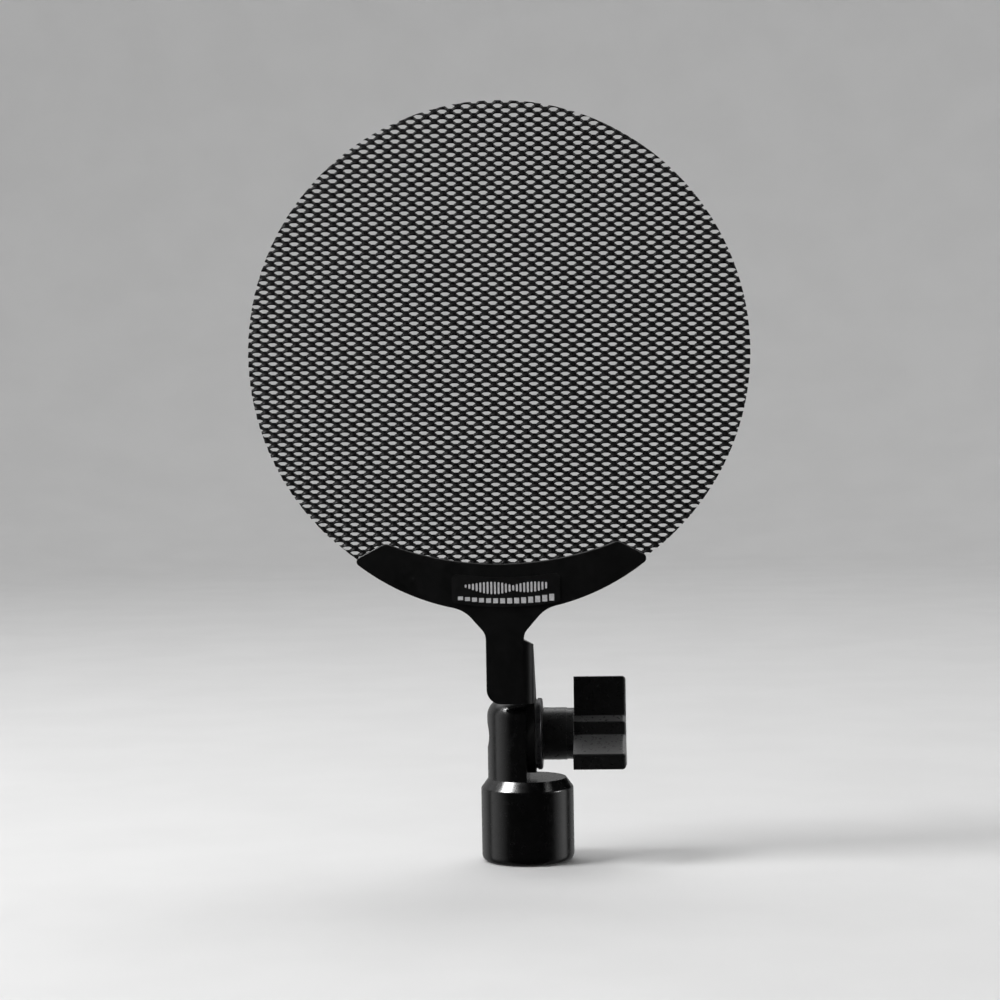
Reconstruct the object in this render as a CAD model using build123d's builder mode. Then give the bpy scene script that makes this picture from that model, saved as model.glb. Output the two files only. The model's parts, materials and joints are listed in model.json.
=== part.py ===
from build123d import *
import os
from math import acos, atan2, cos, hypot, radians, sin, tan

# Pop filter: a round metal screen on a folded bracket, which tilts on a stand adaptor and is held by a knob.
# Millimetres. The origin is the centre of the stand socket's mouth, +Z is up along the socket, the screen
# faces -Y towards the voice, and the clamping knob is on the +X side.

# Stand adaptor: a turned cup with the threaded socket, and a half-round post milled above it
SOCKET_R = 15.875 / 2  # 5/8 inch stand thread, at its major diameter
SOCKET_DEPTH = 14.0
TAP_DRILL_R = 7.35
DRILL_TIP_SLOPE = 31.0  # of the conical end that the drill leaves above the thread
CUP_R = 11.4
CUP_SIDE_H = 18.1
LEDGE_Z = 20.5  # flat ledge beside the post, at the top of the cup's shoulder
POST_R = 9.65
POST_FLAT_X = 0.3  # the milled flat's position along the pivot axis
POST_TOP_Z = 40.3
POST_TOP_ROUND = 4.5
CUP_BASE_ROUND = 1.8
SHOULDER_ROUND = 0.8

# Pivot: its axis runs along X through the post, the bracket's ear and the knob
PIVOT_Z = 31.25
PIVOT_HOLE_R = 3.2  # tapped cross hole for a 1/4 inch stud
STUD_R = 3.12
EAR_HOLE_R = 3.4
FACE_GAP = 0.05  # between faces that slide on each other

# Screen
SCREEN_R = 61.0
SCREEN_X = -5.1
SCREEN_Z = 125.2
SCREEN_T = 1.48  # over the raised strands of the expanded metal

# Bracket: 2 mm sheet, folded once
SHEET = 2.0
PLATE_BACK = 8.4  # the upright plate's back, in front of the pivot axis
TIP_R = 61.7  # crescent's outer tips, from the centre of the screen
TIP_ANGLE = 35.9  # counted from the bottom of the screen
HORN_R = 53.9  # crescent's inner corners
HORN_ANGLE = 31.7
CRESCENT_INNER_DROP = 51.2  # inner edge below the screen's centre, in the middle
CRESCENT_OUTER_DROP = 63.0
TIP_ROUND = 1.2
HORN_ROUND = 2.2
NECK_X = -4.5
NECK_HALF_W = 12.67  # neck's flare, drawn from inside the crescent
NECK_TOP_DROP = 59.0
NECK_MEETS = (10.1, 61.95)  # half width and drop where the flare leaves the crescent's outer edge
NECK_END_DROP = 68.24
NECK_ROUND = 8.0
STEM_ROUND = 3.5
STEM_HALF_W = 4.63
STEM_BOTTOM_Z = 39.8
STEM_CORNER_ROUND = 3.6
BEND_INNER_R = 0.8
BEND_TOP_Z = 55.4
BEND_SLOPE_DROP = 1.2  # the folded edge slopes down as it goes round the bend
EAR_R = 9.6
PLATE_EDGE_ROUND = 0.25
STRIP_INSET = 0.4

# Label: a thin curved sticker on the crescent
LABEL_T = 0.15
LABEL_X = -4.0
LABEL_HALF_W = 13.2
LABEL_TOP_GAP = 3.2  # below the crescent's inner edge
LABEL_H = 7.2
LABEL_RISE = 1.1  # how much higher the curved edges are at the ends
LABEL_ROUND = 1.2

# Clamp stack, outwards along the pivot from the ear
FRICTION_WASHER_T = 0.5
FRICTION_WASHER_R = 8.5
CLAMP_WASHER_T = 1.1
CLAMP_WASHER_R = 8.8
WASHER_HOLE_R = 3.3
WASHER_ROUND = 0.5

# Knob: a round collar, then three wings on a six-sided hub whose flats lie parallel to the wings
COLLAR_R = 6.45
COLLAR_LENGTH = 6.0
COLLAR_STEP_R = 6.3
HUB_FLAT_R = 4.9  # from the axis to a flat
WING_START_X = 11.8
WING_LENGTH = 12.8
WING_R = 14.0
WING_T = 4.4
WING_ANGLE = 83.0  # the upper wing leans a little back from straight up
WING_ROOT_ROUND = 0.3
HUB_EDGE_ROUND = 0.3
WING_EDGE_ROUND = 0.4
WING_END_ROUND = 0.9
COLLAR_EDGE_ROUND = 0.4

# Stud: the threaded length, then the shank that the knob is moulded round
STUD_START_X = -7.5
SHANK_START_X = 8.0
SHANK_R = 3.5
SHANK_LENGTH = 10.0
STUD_CHAMFER = 0.6

# Planes: the pivot's, looking along +X with local x towards +Y, and the upright ones that the sheets lie on
PIVOT = Plane(origin=(0, 0, PIVOT_Z), x_dir=(0, 1, 0), z_dir=(1, 0, 0))
PLATE = Plane.XZ.offset(PLATE_BACK)


def below_screen(radius, angle):
    """Point at a radius from the screen's centre, at an angle from straight down, in X and Z."""
    return (SCREEN_X + radius * sin(radians(angle)), SCREEN_Z - radius * cos(radians(angle)))


def tangent_point(start, radius, turn):
    """Where a line from start touches a circle about the origin, on the side that turn (+1, -1) picks."""
    angle = atan2(start[1], start[0]) + turn * acos(radius / hypot(*start))
    return (radius * cos(angle), radius * sin(angle))


def nearest(shapes, points):
    """The vertex or edge that lies closest to each of the points."""
    return [shapes.sort_by_distance(point)[0] for point in points]


def by_radius(corners):
    """The corners of a sketch in groups, from the closest to its origin outwards."""
    return corners.group_by(lambda corner: round(hypot(corner.X, corner.Y), 1))


def crescent(inset=0.0):
    """Closed outline of the crescent, with its outer and inner edges moved in by inset."""
    left_tip, right_tip = (below_screen(TIP_R - inset, side * TIP_ANGLE) for side in (-1, 1))
    left_horn, right_horn = (below_screen(HORN_R + inset, side * HORN_ANGLE) for side in (-1, 1))
    with BuildLine() as outline:
        ThreePointArc(left_tip, below_screen(CRESCENT_OUTER_DROP - inset, 0), right_tip)
        Line(right_tip, right_horn)
        ThreePointArc(right_horn, below_screen(CRESCENT_INNER_DROP + inset, 0), left_horn)
        Line(left_horn, left_tip)
    return outline.line


TIPS = [below_screen(TIP_R, side * TIP_ANGLE) for side in (-1, 1)]
HORNS = [below_screen(HORN_R, side * HORN_ANGLE) for side in (-1, 1)]
STEM_X = [NECK_X - STEM_HALF_W, NECK_X + STEM_HALF_W]
NECK_END_Z = SCREEN_Z - NECK_END_DROP
EAR_X = POST_FLAT_X + FACE_GAP
BEND_X = EAR_X - BEND_INNER_R  # where the upright plate ends and the bend starts

# ---- stand adaptor ----
with BuildPart() as stand_adaptor:
    with BuildSketch(Plane.XZ):
        with BuildLine():
            Polyline(
                (0, 0), (CUP_R, 0), (CUP_R, CUP_SIDE_H), (POST_R, LEDGE_Z), (POST_R, POST_TOP_Z), (0, POST_TOP_Z),
                close=True,
            )
        make_face()
        fillet(nearest(vertices(), [(CUP_R, 0)]), CUP_BASE_ROUND)
        fillet(nearest(vertices(), [(CUP_R, CUP_SIDE_H)]), SHOULDER_ROUND)
        fillet(nearest(vertices(), [(POST_R, POST_TOP_Z)]), POST_TOP_ROUND)
    revolve(axis=Axis.Z)
    # the flat that the ear bears on is milled down to the ledge
    with BuildSketch(Plane.XY.offset(LEDGE_Z)):
        with Locations((POST_FLAT_X, 0)):
            Rectangle(2 * CUP_R, 3 * CUP_R, align=(Align.MIN, Align.CENTER))
    extrude(amount=POST_TOP_Z, mode=Mode.SUBTRACT)
    with BuildSketch(PIVOT.offset(-2 * POST_R)):
        Circle(PIVOT_HOLE_R)
    extrude(amount=3 * POST_R, mode=Mode.SUBTRACT)
    with BuildSketch(Plane.XY):
        Circle(SOCKET_R)
    extrude(amount=SOCKET_DEPTH, mode=Mode.SUBTRACT)
    with Locations((0, 0, SOCKET_DEPTH)):
        Cone(
            TAP_DRILL_R, 0, TAP_DRILL_R * tan(radians(DRILL_TIP_SLOPE)),
            align=(Align.CENTER, Align.CENTER, Align.MIN), mode=Mode.SUBTRACT,
        )

# ---- bracket: crescent, neck and stem, then the bend and the pivot ear ----
with BuildPart() as bracket_plate:
    with BuildSketch(PLATE):
        add(crescent())
        make_face()
        with BuildLine():
            Polyline(
                (NECK_X - NECK_HALF_W, SCREEN_Z - NECK_TOP_DROP),
                (STEM_X[0], NECK_END_Z),
                (STEM_X[0], STEM_BOTTOM_Z),
                (BEND_X, STEM_BOTTOM_Z),
                (BEND_X, BEND_TOP_Z),
                (STEM_X[1], BEND_TOP_Z),
                (STEM_X[1], NECK_END_Z),
                (NECK_X + NECK_HALF_W, SCREEN_Z - NECK_TOP_DROP),
                close=True,
            )
        make_face()
        neck_meets = [(NECK_X + side * NECK_MEETS[0], SCREEN_Z - NECK_MEETS[1]) for side in (-1, 1)]
        fillet(nearest(vertices(), neck_meets), NECK_ROUND)
        fillet(nearest(vertices(), [(x, NECK_END_Z) for x in STEM_X]), STEM_ROUND)
        fillet(nearest(vertices(), TIPS), TIP_ROUND)
        fillet(nearest(vertices(), HORNS), HORN_ROUND)
        fillet(nearest(vertices(), [(STEM_X[0], STEM_BOTTOM_Z)]), STEM_CORNER_ROUND)
    extrude(amount=SHEET)
    front_edges = faces().sort_by(Axis.Y)[0].edges()
    free_edges = front_edges.filter_by(lambda edge: edge.center().X < BEND_X or edge.center().Z > NECK_END_Z)
    fillet(free_edges, PLATE_EDGE_ROUND)
    # the bend turns the stem's right edge backwards
    bend_centre = (BEND_X, BEND_INNER_R - PLATE_BACK)
    with BuildSketch(Plane.XY.offset(STEM_BOTTOM_Z)):
        with BuildLine():
            outside = CenterArc(bend_centre, BEND_INNER_R + SHEET, -90, 90)
            inside = CenterArc(bend_centre, BEND_INNER_R, -90, 90)
            Line(outside @ 0, inside @ 0)
            Line(outside @ 1, inside @ 1)
        make_face()
    extrude(amount=BEND_TOP_Z - STEM_BOTTOM_Z)
    with BuildSketch(PLATE.offset(-BEND_INNER_R)):
        with BuildLine():
            Polyline(
                (STEM_X[1], BEND_TOP_Z),
                (EAR_X + SHEET, BEND_TOP_Z - BEND_SLOPE_DROP),
                (2 * SHEET, BEND_TOP_Z),
                close=True,
            )
        make_face()
    extrude(amount=2 * SHEET, mode=Mode.SUBTRACT)
    # the ear: a tapering flap with a round end about the pivot
    with BuildSketch(PIVOT.offset(EAR_X)):
        ear_front = bend_centre[1]
        ear_top = (ear_front, BEND_TOP_Z - BEND_SLOPE_DROP - PIVOT_Z)
        ear_low = (ear_front, STEM_BOTTOM_Z - PIVOT_Z)
        Circle(EAR_R)
        with BuildLine():
            Polyline(
                ear_top, tangent_point(ear_top, EAR_R, -1), (0, 0), tangent_point(ear_low, EAR_R, 1), ear_low,
                close=True,
            )
        make_face()
        Circle(EAR_HOLE_R, mode=Mode.SUBTRACT)
    extrude(amount=SHEET)

# ---- backing strip behind the screen ----
with BuildPart() as backing_strip:
    with BuildSketch(PLATE.offset(-SCREEN_T)):
        add(crescent(STRIP_INSET))
        make_face()
        fillet(nearest(vertices(), TIPS), TIP_ROUND)
        fillet(nearest(vertices(), HORNS), HORN_ROUND)
    extrude(amount=-SHEET)

# ---- screen, held between the bracket and the strip ----
with BuildPart() as mesh_screen:
    with BuildSketch(PLATE):
        with Locations((SCREEN_X, SCREEN_Z)):
            Circle(SCREEN_R)
    extrude(amount=-SCREEN_T)

# ---- label on the crescent ----
with BuildPart() as front_label:
    left, middle, right = LABEL_X - LABEL_HALF_W, LABEL_X, LABEL_X + LABEL_HALF_W
    top_z = SCREEN_Z - CRESCENT_INNER_DROP - LABEL_TOP_GAP
    bottom_z = top_z - LABEL_H
    with BuildSketch(PLATE.offset(SHEET)):
        with BuildLine():
            ThreePointArc((left, top_z + LABEL_RISE), (middle, top_z), (right, top_z + LABEL_RISE))
            Line((right, top_z + LABEL_RISE), (right, bottom_z + LABEL_RISE))
            ThreePointArc((right, bottom_z + LABEL_RISE), (middle, bottom_z), (left, bottom_z + LABEL_RISE))
            Line((left, bottom_z + LABEL_RISE), (left, top_z + LABEL_RISE))
        make_face()
        fillet(vertices(), LABEL_ROUND)
    extrude(amount=LABEL_T)

# ---- washers ----
friction_x = EAR_X + SHEET + FACE_GAP
with BuildPart() as friction_washer:
    with BuildSketch(PIVOT.offset(friction_x)):
        Circle(FRICTION_WASHER_R)
        Circle(WASHER_HOLE_R, mode=Mode.SUBTRACT)
    extrude(amount=FRICTION_WASHER_T)

clamp_x = friction_x + FRICTION_WASHER_T
with BuildPart() as clamp_washer:
    with BuildSketch(PIVOT.offset(clamp_x)):
        Circle(CLAMP_WASHER_R)
        Circle(WASHER_HOLE_R, mode=Mode.SUBTRACT)
    extrude(amount=CLAMP_WASHER_T)
    rim = edges().filter_by(GeomType.CIRCLE).sort_by(SortBy.RADIUS)[-2:]
    fillet(rim.sort_by(Axis.X)[-1], WASHER_ROUND)

# ---- knob ----
collar_x = clamp_x + CLAMP_WASHER_T + FACE_GAP
with BuildPart() as clamp_knob:
    with BuildSketch(PIVOT.offset(WING_START_X)):
        RegularPolygon(HUB_FLAT_R, 6, major_radius=False, rotation=WING_ANGLE)
        with PolarLocations(0, 3, start_angle=WING_ANGLE):
            Rectangle(WING_R, WING_T, align=(Align.MIN, Align.CENTER))
        fillet(by_radius(vertices())[0], WING_ROOT_ROUND)
        fillet(by_radius(vertices())[-2], HUB_EDGE_ROUND)
        fillet(by_radius(vertices())[-1], WING_EDGE_ROUND)
    extrude(amount=WING_LENGTH)
    fillet(faces().sort_by(Axis.X)[-1].edges(), WING_END_ROUND)
    with BuildSketch(PIVOT.offset(collar_x)):
        Circle(COLLAR_R)
    extrude(amount=COLLAR_LENGTH)
    fillet(faces().sort_by(Axis.X)[0].edges(), COLLAR_EDGE_ROUND)
    step_x = collar_x + COLLAR_LENGTH
    with BuildSketch(PIVOT.offset(step_x)):
        Circle(COLLAR_STEP_R)
    extrude(amount=WING_START_X - step_x)
    with BuildSketch(PIVOT.offset(collar_x)):
        Circle(STUD_R)
    extrude(amount=SHANK_START_X - collar_x, mode=Mode.SUBTRACT)
    with BuildSketch(PIVOT.offset(SHANK_START_X)):
        Circle(SHANK_R)
    extrude(amount=SHANK_LENGTH, mode=Mode.SUBTRACT)

# ---- stud, moulded into the knob ----
with BuildPart() as clamp_stud:
    with BuildSketch(PIVOT.offset(STUD_START_X)):
        Circle(STUD_R)
    extrude(amount=SHANK_START_X - STUD_START_X)
    chamfer(faces().sort_by(Axis.X)[0].edges(), STUD_CHAMFER)
    with BuildSketch(PIVOT.offset(SHANK_START_X)):
        Circle(SHANK_R)
    extrude(amount=SHANK_LENGTH)

# ---- export ----
pieces = {
    "stand_adaptor": stand_adaptor,
    "bracket_plate": bracket_plate,
    "backing_strip": backing_strip,
    "mesh_screen": mesh_screen,
    "front_label": front_label,
    "friction_washer": friction_washer,
    "clamp_washer": clamp_washer,
    "clamp_knob": clamp_knob,
    "clamp_stud": clamp_stud,
}
os.makedirs("parts", exist_ok=True)
for name, piece in pieces.items():
    piece.part.label = name
    export_step(piece.part, f"parts/{name}.step")
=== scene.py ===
import json
from math import ceil, cos, pi, radians, sin, sqrt

import bmesh
import bpy
from mathutils import Matrix, Vector


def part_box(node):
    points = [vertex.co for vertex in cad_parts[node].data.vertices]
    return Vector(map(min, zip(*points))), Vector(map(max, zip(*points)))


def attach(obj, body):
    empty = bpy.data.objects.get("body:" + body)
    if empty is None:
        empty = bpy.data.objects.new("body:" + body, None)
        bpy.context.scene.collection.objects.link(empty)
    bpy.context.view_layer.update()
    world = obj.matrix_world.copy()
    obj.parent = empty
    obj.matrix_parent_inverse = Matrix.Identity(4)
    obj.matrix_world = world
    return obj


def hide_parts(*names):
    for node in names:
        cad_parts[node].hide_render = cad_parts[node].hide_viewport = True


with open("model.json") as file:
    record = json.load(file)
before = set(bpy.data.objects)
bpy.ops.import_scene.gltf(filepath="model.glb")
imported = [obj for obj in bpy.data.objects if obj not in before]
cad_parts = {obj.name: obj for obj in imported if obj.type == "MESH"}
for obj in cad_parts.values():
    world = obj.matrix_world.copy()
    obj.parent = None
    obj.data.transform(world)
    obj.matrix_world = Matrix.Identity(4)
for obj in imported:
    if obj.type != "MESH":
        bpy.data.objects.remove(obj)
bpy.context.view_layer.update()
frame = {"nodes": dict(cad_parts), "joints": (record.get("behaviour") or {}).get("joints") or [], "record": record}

MM = 0.001


# ---------------------------------------------------------------- small helpers

def new_object(name, mesh):
    """Link a new object that holds the mesh."""
    obj = bpy.data.objects.new(name, mesh)
    bpy.context.scene.collection.objects.link(obj)
    return obj


def mesh_from(name, points, faces, sharp_angle=35.0):
    """Smooth-shaded mesh with edges sharper than sharp_angle kept crisp."""
    mesh = bpy.data.meshes.new(name)
    mesh.from_pydata(points, [], faces)
    mesh.validate()
    finish_mesh(mesh, sharp_angle)
    return mesh


def finish_mesh(mesh, sharp_angle=35.0):
    """Outward normals, smooth faces and crisp edges."""
    form = bmesh.new()
    form.from_mesh(mesh)
    bmesh.ops.recalc_face_normals(form, faces=form.faces)
    form.to_mesh(mesh)
    form.free()
    mesh.shade_smooth()
    mesh.set_sharp_from_angle(angle=radians(sharp_angle))
    mesh.update()


def place(obj, body, material, replaces=()):
    """Give a finished piece its body and material, and hide the CAD nodes that it stands for."""
    obj.data.materials.clear()
    obj.data.materials.append(material)
    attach(obj, body)
    if replaces:
        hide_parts(*replaces)
    return obj


# ---------------------------------------------------------------- places, read from the frame

screen_low, screen_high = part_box("mesh_screen")
SCREEN_CENTRE = (screen_low + screen_high) / 2
SCREEN_R = (screen_high.z - screen_low.z) / 2
plate_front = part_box("bracket_plate")[0].y
label_low, label_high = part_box("front_label")
stud_low, stud_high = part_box("clamp_stud")
joints = {joint["name"]: joint for joint in frame["joints"]}
PIVOT = Vector(joints["screen_tilt"]["pos_m"])
socket = next(m for m in frame["record"]["mounts"] if m["name"] == "stand_socket")


# ---------------------------------------------------------------- materials

class Shader:
    """A Principled material whose nodes are added one at a time."""

    def __init__(self, name, roughness, metallic=0.0):
        self.material = bpy.data.materials.new(name)
        self.material.use_nodes = True
        self.nodes = self.material.node_tree.nodes
        self.links = self.material.node_tree.links
        self.surface = self.nodes["Principled BSDF"]
        self.surface.inputs["Roughness"].default_value = roughness
        self.surface.inputs["Metallic"].default_value = metallic
        self.place = self.nodes.new("ShaderNodeTexCoord").outputs["Object"]

    def link(self, source, target):
        self.links.new(source, target)

    def noise(self, scale_mm, detail=3.0, stretch=(1, 1, 1)):
        """Noise with features about scale_mm wide, stretched along an axis by a larger value there."""
        mapping = self.nodes.new("ShaderNodeMapping")
        mapping.inputs["Scale"].default_value = [1 / (scale_mm * MM * s) for s in stretch]
        noise = self.nodes.new("ShaderNodeTexNoise")
        noise.inputs["Scale"].default_value = 1.0
        noise.inputs["Detail"].default_value = detail
        self.link(self.place, mapping.inputs["Vector"])
        self.link(mapping.outputs["Vector"], noise.inputs["Vector"])
        return noise.outputs["Fac"]

    def ramp(self, factor, low, high, start=0.35, end=0.65):
        """Map a factor to a colour or a grey between low and high."""
        ramp = self.nodes.new("ShaderNodeValToRGB")
        for element, position, value in zip(ramp.color_ramp.elements, (start, end), (low, high)):
            element.position = position
            element.color = (*value, 1) if isinstance(value, tuple) else (value, value, value, 1)
        self.link(factor, ramp.inputs["Fac"])
        return ramp.outputs["Color"]

    def colour(self, factor, low, high):
        self.link(self.ramp(factor, low, high), self.surface.inputs["Base Color"])

    def roughness(self, factor, low, high):
        self.link(self.ramp(factor, low, high), self.surface.inputs["Roughness"])

    def bump(self, height, distance_mm, strength=1.0, under=None):
        """Add a bump of a real height, on top of an earlier one if given."""
        bump = self.nodes.new("ShaderNodeBump")
        bump.inputs["Strength"].default_value = strength
        bump.inputs["Distance"].default_value = distance_mm * MM
        self.link(height, bump.inputs["Height"])
        if under is not None:
            self.link(under, bump.inputs["Normal"])
        self.link(bump.outputs["Normal"], self.surface.inputs["Normal"])
        return bump.outputs["Normal"]


def powder_coat():
    """Matt black powder coat: a fine, even orange peel."""
    coat = Shader("powder_coat", 0.55)
    coat.surface.inputs["Specular IOR Level"].default_value = 0.38
    coat.colour(coat.noise(6, 4), (0.0014, 0.0014, 0.0016), (0.0030, 0.0030, 0.0033))
    coat.roughness(coat.noise(0.9, 3), 0.34, 0.46)
    grain = coat.bump(coat.noise(0.22, 2), 0.012, 0.8)
    coat.bump(coat.noise(0.7, 2), 0.02, 0.4, under=grain)
    return coat.material


def gloss_enamel():
    """Gloss black finish over fine turning marks."""
    enamel = Shader("gloss_enamel", 0.24)
    enamel.surface.inputs["Specular IOR Level"].default_value = 0.6
    enamel.surface.inputs["Coat Weight"].default_value = 0.15
    enamel.surface.inputs["Coat Roughness"].default_value = 0.12
    enamel.colour(enamel.noise(5, 3), (0.0008, 0.0008, 0.0009), (0.0016, 0.0016, 0.0018))
    enamel.roughness(enamel.noise(1.6, 5), 0.20, 0.28)
    marks = enamel.bump(enamel.noise(0.18, 2, stretch=(40, 40, 1)), 0.002, 0.5)
    enamel.bump(enamel.noise(1.4, 2), 0.004, 0.35, under=marks)
    return enamel.material


def screen_paint():
    """Satin black paint on the pressed strands."""
    paint = Shader("screen_paint", 0.34)
    paint.surface.inputs["Specular IOR Level"].default_value = 0.3
    paint.colour(paint.noise(9, 3), (0.0022, 0.0022, 0.0024), (0.0040, 0.0040, 0.0043))
    paint.roughness(paint.noise(0.5, 3), 0.24, 0.36)
    paint.bump(paint.noise(0.15, 2), 0.006, 0.5)
    return paint.material


def knob_plastic():
    """Moulded black plastic with a fine spark-eroded texture."""
    plastic = Shader("knob_plastic", 0.30)
    plastic.surface.inputs["Sheen Weight"].default_value = 0.65
    plastic.surface.inputs["Sheen Roughness"].default_value = 0.4
    plastic.colour(plastic.noise(4, 3), (0.0006, 0.0006, 0.0007), (0.0014, 0.0014, 0.0016))
    plastic.roughness(plastic.noise(0.8, 4), 0.26, 0.36)
    plastic.bump(plastic.noise(0.25, 2), 0.004, 0.35)
    return plastic.material


def washer_nylon():
    """Slightly waxy dark nylon."""
    nylon = Shader("washer_nylon", 0.45)
    nylon.surface.inputs["Subsurface Weight"].default_value = 0.05
    nylon.surface.inputs["Subsurface Radius"].default_value = (0.4 * MM, 0.4 * MM, 0.4 * MM)
    nylon.colour(nylon.noise(2, 3), (0.030, 0.030, 0.032), (0.042, 0.042, 0.044))
    nylon.roughness(nylon.noise(0.5, 3), 0.38, 0.52)
    nylon.bump(nylon.noise(0.2, 2), 0.004, 0.5)
    return nylon.material


def washer_steel():
    """Black-oxide steel with faint stamping scratches."""
    steel = Shader("washer_steel", 0.32, metallic=0.6)
    steel.colour(steel.noise(1.5, 5), (0.020, 0.020, 0.022), (0.050, 0.050, 0.053))
    steel.roughness(steel.noise(0.5, 4), 0.24, 0.42)
    steel.bump(steel.noise(0.15, 3, stretch=(1, 1, 14)), 0.003, 0.5)
    return steel.material


def stud_steel():
    """Zinc-plated steel thread."""
    steel = Shader("stud_steel", 0.3, metallic=0.95)
    steel.colour(steel.noise(1.2, 4), (0.36, 0.36, 0.37), (0.52, 0.52, 0.53))
    steel.roughness(steel.noise(0.4, 4), 0.22, 0.40)
    steel.bump(steel.noise(0.12, 3), 0.003, 0.5)
    return steel.material


def label_film():
    """Black satin sticker film."""
    film = Shader("label_film", 0.34)
    film.colour(film.noise(5, 3), (0.0035, 0.0035, 0.0038), (0.0055, 0.0055, 0.0058))
    film.roughness(film.noise(1.0, 3), 0.28, 0.42)
    film.bump(film.noise(0.5, 3), 0.004, 0.5)
    return film.material


def label_ink():
    """Grey screen-printed ink, a little uneven."""
    ink = Shader("label_ink", 0.6)
    ink.colour(ink.noise(0.5, 4), (0.42, 0.42, 0.43), (0.54, 0.54, 0.55))
    ink.roughness(ink.noise(0.4, 3), 0.5, 0.7)
    ink.bump(ink.noise(0.1, 2), 0.004, 0.6)
    return ink.material


def pale_floor():
    """Seamless studio paper."""
    paper = Shader("studio_paper", 0.9)
    paper.colour(paper.noise(40, 2), (0.67, 0.67, 0.67), (0.69, 0.69, 0.69))
    paper.bump(paper.noise(2, 2), 0.02, 0.2)
    return paper.material


POWDER = powder_coat()
ENAMEL = gloss_enamel()
PAINT = screen_paint()
PLASTIC = knob_plastic()
NYLON = washer_nylon()
WASHER = washer_steel()
STUD = stud_steel()
FILM = label_film()
INK = label_ink()


def finish_node(name, material):
    """Give a CAD node its material."""
    obj = frame["nodes"][name]
    for slot in obj.material_slots:
        slot.material = material
    return obj


# ---------------------------------------------------------------- the expanded-metal screen

LONG_PITCH = 3.85 * MM  # along a strand, from one bond to the next of the same row
SHORT_PITCH = 2.32 * MM  # two strands up
STRAND_W = 0.82 * MM
STRAND_T = 0.45 * MM
BOND = 0.24  # half the bond's length, as a share of half the long pitch
ARCH = 1.6  # how round the upper bends are against the lower ones
BEND_STATIONS = (0.0, 0.33, 0.67, 1.0)  # along a sloping leg, the same from either end
LIFT = sqrt((SHORT_PITCH / 2) ** 2 - STRAND_W ** 2)  # each strand's step off the one below
WIDTH_WAY = Vector((0, LIFT, STRAND_W)) / (SHORT_PITCH / 2)
FACE_WAY = Vector((0, -STRAND_W, LIFT)) / (SHORT_PITCH / 2)
LATTICE_OFFSET = Vector((0.80, 0, -0.06)) * MM  # of one strand's middle from the screen's centre
RIM_SEGMENTS = 360
BLADE_DEPTH = 20 * MM  # more than the sheet is thick
STRAND_CORNERS = ((0, 0), (1, 0), (1, 1), (0, 1))  # (edge, side) round a strand's section


def leg_drop(share):
    """How far down from its upper bond a strand is, 0 to 1, at a share of the half pitch."""
    along = (share - BOND) / (1 - 2 * BOND)
    return min(max(along, 0.0), 1.0) ** ARCH


def strand_stations(reach):
    """(bond number, share of the half pitch, x) along the screen's width, out to reach."""
    half = LONG_PITCH / 2
    count = ceil(reach / half) + 1
    stations = []
    for bond in range(-count, count):
        for step in BEND_STATIONS:
            share = BOND + (1 - 2 * BOND) * step
            stations.append((bond, share, (bond + share) * half))
    return stations


def expanded_sheet():
    """Points and faces of a rectangle of raised expanded metal, slit, stretched and closed all round."""
    stations = strand_stations(SCREEN_R + LONG_PITCH)
    rows = ceil((SCREEN_R + SHORT_PITCH) / (SHORT_PITCH / 2))
    strand_middle = WIDTH_WAY * (STRAND_W / 2) - FACE_WAY * (STRAND_T / 2)
    origin = SCREEN_CENTRE + LATTICE_OFFSET - strand_middle
    points, index, faces = [], {}, []

    def bonded(slit, bond, share):
        """The bond of a slit row that a station lies on, or None."""
        if share <= BOND and (bond + slit) % 2 == 0:
            return bond
        if share >= 1 - BOND and (bond + 1 + slit) % 2 == 0:
            return bond + 1
        return None

    def corner(row, edge, side, number):
        """Index of a strand's corner at a station: edge 0 is its front edge, side 0 its underside."""
        bond, share, x = stations[number]
        slit = row + edge
        if bonded(slit + 1, bond, share) is not None:
            key = ("bond", slit, side, number)
        else:
            key = ("free", row, edge, side, number)
        if key not in index:
            falling = (bond + row) % 2 == 0
            drop = leg_drop(share) if falling else leg_drop(1 - share)
            height = row * LIFT + LIFT * (0.5 - drop) - (STRAND_T if side == 0 else 0)
            spot = origin + WIDTH_WAY * (slit * STRAND_W) + FACE_WAY * height
            index[key] = len(points)
            points.append((spot.x + x, spot.y, spot.z))
        return index[key]

    def ring(row, number):
        """The four corners of a strand at a station."""
        return [corner(row, edge, side, number) for edge, side in STRAND_CORNERS]

    last = len(stations) - 1
    for row in range(-rows, rows + 1):
        for number in range(last):
            here, there = ring(row, number), ring(row, number + 1)
            for first in range(4):
                second = (first + 1) % 4
                # a wall along a slit is left out where the strand is bonded to its neighbour
                edge_slit = {1: row + 1, 3: row}.get(first)
                if edge_slit is not None and -rows < edge_slit <= rows:
                    start, end = stations[number], stations[number + 1]
                    bond = bonded(edge_slit + 1, start[0], start[1])
                    if bond is not None and bond == bonded(edge_slit + 1, end[0], end[1]):
                        continue
                faces.append((here[first], here[second], there[second], there[first]))
        for number, turn in ((0, -1), (last, 1)):
            faces.append(tuple(ring(row, number)[::turn]))
    return points, faces


def rim_cutter():
    """The round blade that the screen is cut with."""
    form = bmesh.new()
    bmesh.ops.create_cone(
        form, cap_ends=True, segments=RIM_SEGMENTS, radius1=SCREEN_R, radius2=SCREEN_R, depth=BLADE_DEPTH,
    )
    bmesh.ops.rotate(form, verts=form.verts, cent=(0, 0, 0), matrix=Matrix.Rotation(pi / 2, 3, "X"))
    bmesh.ops.translate(form, verts=form.verts, vec=SCREEN_CENTRE)
    mesh = bpy.data.meshes.new("rim_cutter")
    form.to_mesh(mesh)
    form.free()
    return new_object("rim_cutter", mesh)


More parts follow.
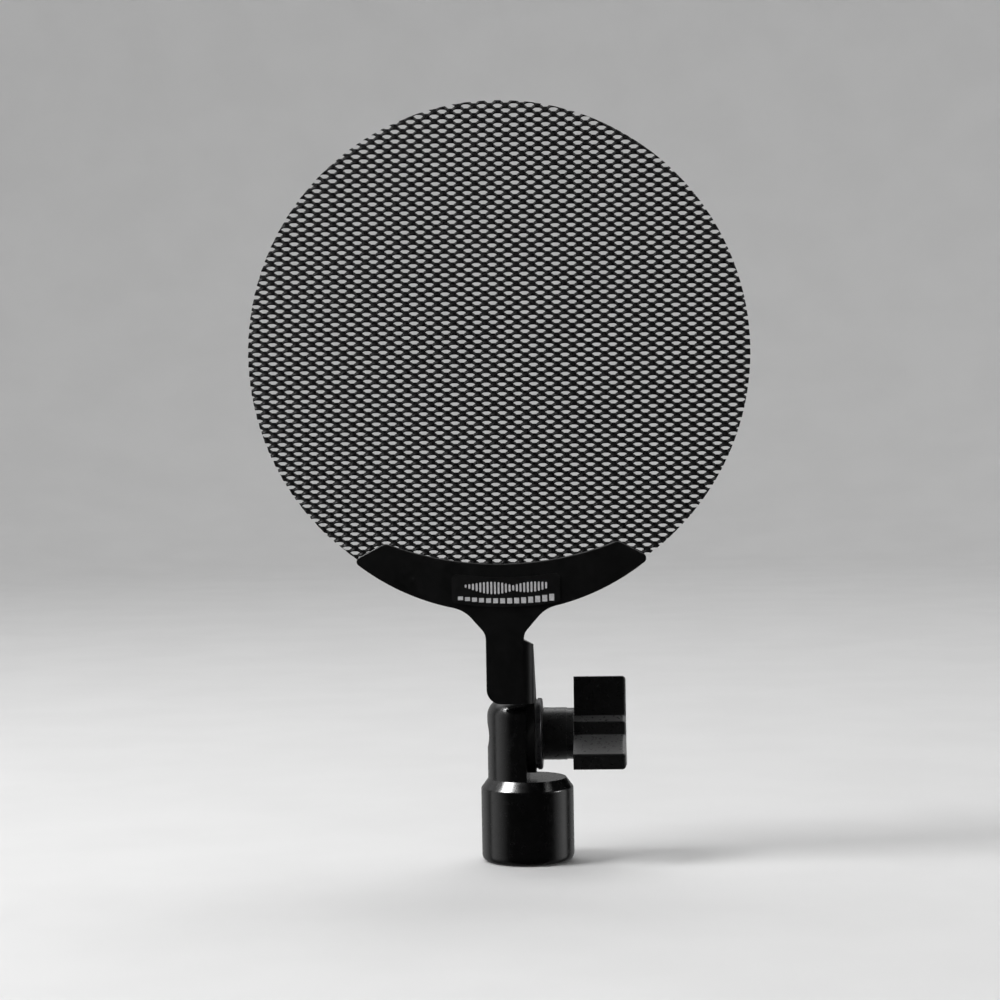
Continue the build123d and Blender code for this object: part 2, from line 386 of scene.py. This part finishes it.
def make_screen():
    """The see-through metal screen, cut to a circle with a raw edge."""
    points, faces = expanded_sheet()
    screen = new_object("raised_mesh_screen", mesh_from("raised_mesh_screen", points, faces))
    cutter = rim_cutter()
    cut = screen.modifiers.new("cut", "BOOLEAN")
    cut.operation = "INTERSECT"
    cut.solver = "MANIFOLD"
    cut.object = cutter
    result = bpy.data.meshes.new_from_object(screen.evaluated_get(bpy.context.evaluated_depsgraph_get()))
    screen.modifiers.clear()
    screen.data = result
    bpy.data.objects.remove(cutter)
    finish_mesh(screen.data)
    return place(screen, "head", PAINT, replaces=["mesh_screen"])


make_screen()

# ---------------------------------------------------------------- threads

TURN_STEPS = 40
RIDGE_SHARP_ANGLE = 25
SUNK = 0.03 * MM  # how far a ridge's foot lies inside the wall or core that it grows from


def ridge(start, length, pitch, base_r, crest_r, base_w, crest_w, phase, across, up, along):
    """Points and faces of a helical ridge that rises from base_r to crest_r and fades out at both ends.

    It starts at a point and climbs the along direction; across and up span the plane that it turns in.
    """
    steps = int(length / pitch * TURN_STEPS)
    fade = TURN_STEPS / 3
    points, faces = [], []
    for step in range(steps + 1):
        angle = 2 * pi * step / TURN_STEPS + phase
        height = length * step / steps
        grown = min(1.0, step / fade, (steps - step) / fade)
        tip = base_r + (crest_r - base_r) * grown
        outward = across * cos(angle) + up * sin(angle)
        for radius, offset in ((base_r, -base_w), (tip, -crest_w), (tip, crest_w), (base_r, base_w)):
            points.append(start + outward * radius + along * (height + offset / 2))
    for step in range(steps):
        here, there = 4 * step, 4 * (step + 1)
        for first in range(4):
            second = (first + 1) % 4
            faces.append((here + first, here + second, there + second, there + first))
    faces.append((3, 2, 1, 0))
    faces.append(tuple(4 * steps + corner for corner in range(4)))
    return points, faces


def turned(profile, start, across, up, along, steps=64):
    """Points and faces of a solid of revolution; the profile holds (radius, distance along) pairs."""
    points = [start + along * profile[0][1], start + along * profile[-1][1]]
    faces = []
    for radius, distance in profile:
        for step in range(steps):
            angle = 2 * pi * step / steps
            points.append(start + along * distance + (across * cos(angle) + up * sin(angle)) * radius)
    for step in range(steps):
        following = (step + 1) % steps
        faces.append((0, 2 + step, 2 + following))
        last = 2 + (len(profile) - 1) * steps
        faces.append((1, last + following, last + step))
        for ring in range(len(profile) - 1):
            low, high = 2 + ring * steps, 2 + (ring + 1) * steps
            faces.append((low + step, high + step, high + following, low + following))
    return points, faces


def joined(*shapes):
    """Several (points, faces) shapes as one."""
    points, faces = [], []
    for shape_points, shape_faces in shapes:
        faces += [tuple(len(points) + corner for corner in face) for face in shape_faces]
        points += shape_points
    return points, faces


def place_ridge(name, shape):
    """Put a ridge on the stand adaptor."""
    ridge_object = new_object(name, mesh_from(name, *shape, RIDGE_SHARP_ANGLE))
    return place(ridge_object, "base", ENAMEL)


X_WAY, Y_WAY, Z_WAY = Vector((1, 0, 0)), Vector((0, 1, 0)), Vector((0, 0, 1))

# 5/8 inch 27 threads per inch in the stand socket, below its major diameter
SOCKET_PITCH = 25.4 / 27 * MM
SOCKET_MINOR_R = 7.42 * MM
SOCKET_FOOT, SOCKET_CREST = 0.88 * SOCKET_PITCH, 0.16 * SOCKET_PITCH  # the ridge's widths
socket_r, socket_length = (socket["dims"][name] * MM for name in ("r_mm", "length_mm"))
socket_thread = ridge(
    Vector(socket["pos_m"]) + Z_WAY * SOCKET_PITCH, socket_length - 2 * SOCKET_PITCH, SOCKET_PITCH,
    socket_r + SUNK, SOCKET_MINOR_R, SOCKET_FOOT, SOCKET_CREST, 0.0, X_WAY, Y_WAY, Z_WAY,
)
place_ridge("socket_thread", socket_thread)

# 1/4 inch 20 threads per inch on the stud and in the cross hole that it screws into
STUD_PITCH = 25.4 / 20 * MM
STUD_FOOT, STUD_CREST = 0.80 * STUD_PITCH, 0.14 * STUD_PITCH  # the ridges' widths
STUD_RUNOUT = 0.6 * STUD_PITCH
STUD_CREST_R = 3.12 * MM
STUD_ROOT_R = 2.50 * MM
HOLE_R = 3.20 * MM
HOLE_CREST_R = 2.62 * MM
THREAD_END_X = 8.0 * MM
POINT = 0.6 * MM  # of the stud's chamfered end
POST_FLAT_X = 0.2 * MM  # just inside the post's flat
stud_shank_r = (stud_high.z - stud_low.z) / 2
stud_start = Vector((stud_low.x, PIVOT.y, PIVOT.z))
thread_length = THREAD_END_X - stud_low.x
stud_body = turned(
    [
        (STUD_ROOT_R - POINT, 0), (STUD_ROOT_R, POINT), (STUD_ROOT_R, thread_length - STUD_PITCH),
        (STUD_CREST_R, thread_length - STUD_RUNOUT), (STUD_CREST_R, thread_length),
        (stud_shank_r, thread_length), (stud_shank_r, stud_high.x - stud_low.x),
    ],
    stud_start, Y_WAY, Z_WAY, X_WAY,
)
stud_thread = ridge(
    stud_start + X_WAY * POINT, thread_length - POINT - STUD_PITCH, STUD_PITCH,
    STUD_ROOT_R - SUNK, STUD_CREST_R, STUD_FOOT, STUD_CREST, 0.0, Y_WAY, Z_WAY, X_WAY,
)
stud_mesh = mesh_from("threaded_stud", *joined(stud_body, stud_thread), RIDGE_SHARP_ANGLE)
place(new_object("threaded_stud", stud_mesh), "knob", STUD, replaces=["clamp_stud"])

# the hole's ridge lies half a pitch off the stud's, so that the two mesh at every turn of the knob
HOLE_LEAD = 0.7 * STUD_PITCH  # of the hole's ridge before the stud's end
hole_from = stud_low.x - HOLE_LEAD
hole_turns = (hole_from - stud_low.x - POINT) / STUD_PITCH
hole_thread = ridge(
    Vector((hole_from, PIVOT.y, PIVOT.z)), POST_FLAT_X - hole_from, STUD_PITCH,
    HOLE_R + SUNK, HOLE_CREST_R, STUD_FOOT, STUD_CREST, 2 * pi * (hole_turns + 0.5), Y_WAY, Z_WAY, X_WAY,
)
place_ridge("cross_hole_thread", hole_thread)

# ---------------------------------------------------------------- print on the label

PRINT_T = 0.04 * MM
METER_BARS = 23
BLOCKS = 14
ROW_ONE_Z = label_high.z - 3.5 * MM
ROW_TWO_Z = label_high.z - 6.6 * MM
BAR_W, BAR_H = 0.48 * MM, 3.3 * MM  # the tallest a bar can be
BAR_BEATS = 2.9  # radians from one bar's height to the next's
BAR_REACH, BLOCK_REACH = 0.37, 0.42  # of each row either side, as a share of the label's width
BLOCK_HALF_W, BLOCK_HALF_H, BLOCK_GROWTH = 0.60 * MM, 0.42 * MM, 0.40 * MM
ROW_RISE = 0.08  # how much higher the rows are at the label's ends, as a share of its half width


def slab(outline, front, back):
    """Points and faces of a flat outline in X and Z, thickened between two Y values."""
    count = len(outline)
    points = [Vector((x, y, z)) for y in (front, back) for x, z in outline]
    faces = [tuple(range(count)), tuple(range(2 * count - 1, count - 1, -1))]
    for first in range(count):
        second = (first + 1) % count
        faces.append((first, count + first, count + second, second))
    return points, faces


def rounded_bar(x, z, width, height, corners=4):
    """Outline of an upright bar with round ends, centred on a point."""
    radius = width / 2
    outline = []
    for end, way in ((height / 2 - radius, 1), (radius - height / 2, -1)):
        for corner in range(corners + 1):
            angle = pi * corner / corners
            outline.append((x + way * radius * cos(angle), z + end + way * radius * sin(angle)))
    return outline


def label_print():
    """A generic level pattern: a row of bars over a row of short blocks, curved like the label."""
    middle = (label_low + label_high) / 2
    width = label_high.x - label_low.x
    front, back = label_low.y - PRINT_T, label_low.y + PRINT_T / 4
    shapes = []

    def lifted(share):
        return ROW_RISE * width / 2 * share ** 2

    for bar in range(METER_BARS):
        share = 2 * bar / (METER_BARS - 1) - 1
        swell = (0.42 + 0.58 * abs(sin(BAR_BEATS * bar))) * (1 - 0.45 * share ** 2)
        x = middle.x + share * BAR_REACH * width
        z = ROW_ONE_Z + lifted(2 * BAR_REACH * share)
        shapes.append(slab(rounded_bar(x, z, BAR_W, BAR_H * swell), front, back))
    for block in range(BLOCKS):
        share = 2 * block / (BLOCKS - 1) - 1
        x = middle.x + share * BLOCK_REACH * width
        z = ROW_TWO_Z + lifted(2 * BLOCK_REACH * share)
        half_h = BLOCK_HALF_H + BLOCK_GROWTH * (block + 1) / BLOCKS
        low, high = z - half_h, z + half_h
        left, right = x - BLOCK_HALF_W, x + BLOCK_HALF_W
        shapes.append(slab([(left, low), (right, low), (right, high), (left, high)], front, back))
    points, faces = joined(*shapes)
    return place(new_object("label_print", mesh_from("label_print", points, faces)), "head", INK)


label_print()

# ---------------------------------------------------------------- carried-over CAD nodes

finish_node("stand_adaptor", ENAMEL)
finish_node("bracket_plate", POWDER)
finish_node("backing_strip", POWDER)
finish_node("front_label", FILM)
finish_node("friction_washer", NYLON)
finish_node("clamp_washer", WASHER)
finish_node("clamp_knob", PLASTIC)


# ---------------------------------------------------------------- stage, lights and camera

COVE_R = 1.5
COVE_BEND = 0.5
COVE_HEIGHT = 1.6
COVE_SEGMENTS = 96
FLOOR_RINGS = 4
BEND_STEPS = 16


def make_cove():
    """A round seamless backdrop: a floor that curves up into a wall all round."""
    profile = [(step / FLOOR_RINGS * (COVE_R - COVE_BEND), 0.0) for step in range(1, FLOOR_RINGS + 1)]
    for step in range(1, BEND_STEPS + 1):
        angle = pi / 2 * step / BEND_STEPS
        profile.append((COVE_R - COVE_BEND + COVE_BEND * sin(angle), COVE_BEND * (1 - cos(angle))))
    profile.append((COVE_R, COVE_HEIGHT))
    points, faces = [(0, 0, 0)], []
    for radius, height in profile:
        for segment in range(COVE_SEGMENTS):
            angle = 2 * pi * segment / COVE_SEGMENTS
            points.append((radius * cos(angle), radius * sin(angle), height))
    for segment in range(COVE_SEGMENTS):
        following = (segment + 1) % COVE_SEGMENTS
        faces.append((0, 1 + segment, 1 + following))
        for ring in range(len(profile) - 1):
            low, high = 1 + ring * COVE_SEGMENTS, 1 + (ring + 1) * COVE_SEGMENTS
            faces.append((low + segment, high + segment, high + following, low + following))
    mesh = bpy.data.meshes.new("cove")
    mesh.from_pydata(points, [], faces)
    mesh.shade_smooth()
    cove = new_object("cove", mesh)
    cove.data.materials.append(pale_floor())
    cove.visible_glossy = False


def soft_box(name, direction, distance, size, watts, in_reflections=True, on_surfaces=True):
    """A rectangular soft light that points at the object."""
    data = bpy.data.lights.new(name, "AREA")
    data.shape = "RECTANGLE"
    data.size, data.size_y = size
    data.energy = watts
    lamp = bpy.data.objects.new(name, data)
    bpy.context.scene.collection.objects.link(lamp)
    away = Vector(direction).normalized()
    lamp.location = Vector((0, 0, LIGHT_AIM_HEIGHT)) + away * distance
    lamp.rotation_euler = away.to_track_quat("Z", "Y").to_euler()
    lamp.visible_camera = False
    lamp.visible_glossy = in_reflections
    lamp.visible_diffuse = on_surfaces


def make_world():
    """The studio as reflections see it: dark in front and overhead, panels at the sides, a pale back."""
    world = bpy.data.worlds.new("studio")
    bpy.context.scene.world = world
    world.use_nodes = True
    nodes, links = world.node_tree.nodes, world.node_tree.links

    def math(operation, *values):
        node = nodes.new("ShaderNodeMath")
        node.operation = operation
        for socket_in, value in zip(node.inputs, values):
            if isinstance(value, bpy.types.NodeSocket):
                links.new(value, socket_in)
            else:
                socket_in.default_value = value
        return node.outputs["Value"]

    def ramp(source, low, high, stops):
        """Grey levels given at values between low and high."""
        rescale = nodes.new("ShaderNodeMapRange")
        rescale.inputs["From Min"].default_value = low
        rescale.inputs["From Max"].default_value = high
        links.new(source, rescale.inputs["Value"])
        node = nodes.new("ShaderNodeValToRGB")
        elements = node.color_ramp.elements
        while len(elements) < len(stops):
            elements.new(0.5)
        for element, (value, level) in zip(elements, stops):
            element.position = (value - low) / (high - low)
            element.color = (level, level, level, 1)
        links.new(rescale.outputs["Result"], node.inputs["Fac"])
        return node.outputs["Color"]

    split = nodes.new("ShaderNodeSeparateXYZ")
    links.new(nodes.new("ShaderNodeTexCoord").outputs["Generated"], split.inputs["Vector"])
    along_x, along_y, along_z = (split.outputs[axis] for axis in "XYZ")
    azimuth = math("DEGREES", math("ARCTAN2", along_x, math("MULTIPLY", along_y, -1)))
    elevation = math("DEGREES", math("ARCSINE", along_z))
    around = ramp(azimuth, -180, 180, AROUND)
    upwards = ramp(elevation, -90, 90, UPWARDS)
    behind = ramp(along_y, -1, 1, BEHIND)
    arch = ramp(elevation, -90, 90, BACK_ARCH)
    low_part = math("MULTIPLY", around, upwards)
    total = math("ADD", low_part, math("MULTIPLY", behind, arch))
    links.new(total, nodes["Background"].inputs["Strength"])
    nodes["Background"].inputs["Color"].default_value = (1, 1, 1, 1)


LIGHT_AIM_HEIGHT = 0.09
# grey levels around the object, in degrees from the front, positive to the right
AROUND = [
    (-180, 0.25), (-125, 0.45), (-112, 0.30), (-105, 0.04), (-98, 0.85), (-80, 0.62), (-48, 0.02), (68, 0.02),
    (100, 0.9), (112, 0.8), (118, 0.05), (128, 0.05), (138, 0.30), (180, 0.25),
]
UPWARDS = [(-40, 0.2), (-10, 1.0), (20, 1.0), (45, 0.15), (60, 0.0)]  # how much of those is left going up
BEHIND = [(0.15, 0.0), (0.5, 1.0)]  # a pale arch high up behind the object
BACK_ARCH = [(26, 0.0), (40, 1.5), (58, 1.5), (66, 0.02)]

make_cove()
# the gleam and the glint only show as highlights, so they can be bright and cast no shadow
UPPER_LEFT = (-0.632, -0.198, 0.749)
soft_box("upper_left_box", UPPER_LEFT, 0.85, (0.28, 0.40), 5.5)
soft_box("upper_left_gleam", UPPER_LEFT, 0.84, (0.26, 0.38), 9.0, on_surfaces=False)
soft_box("right_glint", (0.86, -0.02, 0.20), 0.88, (0.10, 0.08), 1.6, on_surfaces=False)
soft_box("overhead_fill", (0.1, 0.45, 1.0), 1.35, (1.2, 1.2), 9.5, in_reflections=False)
make_world()

CAMERA_AZIMUTH = 2.5
CAMERA_DISTANCE = 0.70
CAMERA_HEIGHT = 0.123
CAMERA_AIM_HEIGHT = 0.0896
CAMERA_ROLL = 0.93
LENS_MM = 102.6


def make_camera():
    """A long lens at the height of the screen, a little to the knob's side."""
    data = bpy.data.cameras.new("camera")
    data.lens = LENS_MM
    data.clip_start, data.clip_end = 0.05, 20
    camera = bpy.data.objects.new("camera", data)
    bpy.context.scene.collection.objects.link(camera)
    azimuth = radians(CAMERA_AZIMUTH)
    camera.location = (CAMERA_DISTANCE * sin(azimuth), -CAMERA_DISTANCE * cos(azimuth), CAMERA_HEIGHT)
    aim = Vector((SCREEN_CENTRE.x, plate_front, CAMERA_AIM_HEIGHT))
    look = (camera.location - aim).to_track_quat("Z", "Y")
    roll = Matrix.Rotation(radians(-CAMERA_ROLL), 4, "Z")
    camera.matrix_world = Matrix.Translation(camera.location) @ look.to_matrix().to_4x4() @ roll
    bpy.context.scene.camera = camera


make_camera()
bpy.context.scene.view_settings.view_transform = "Standard"
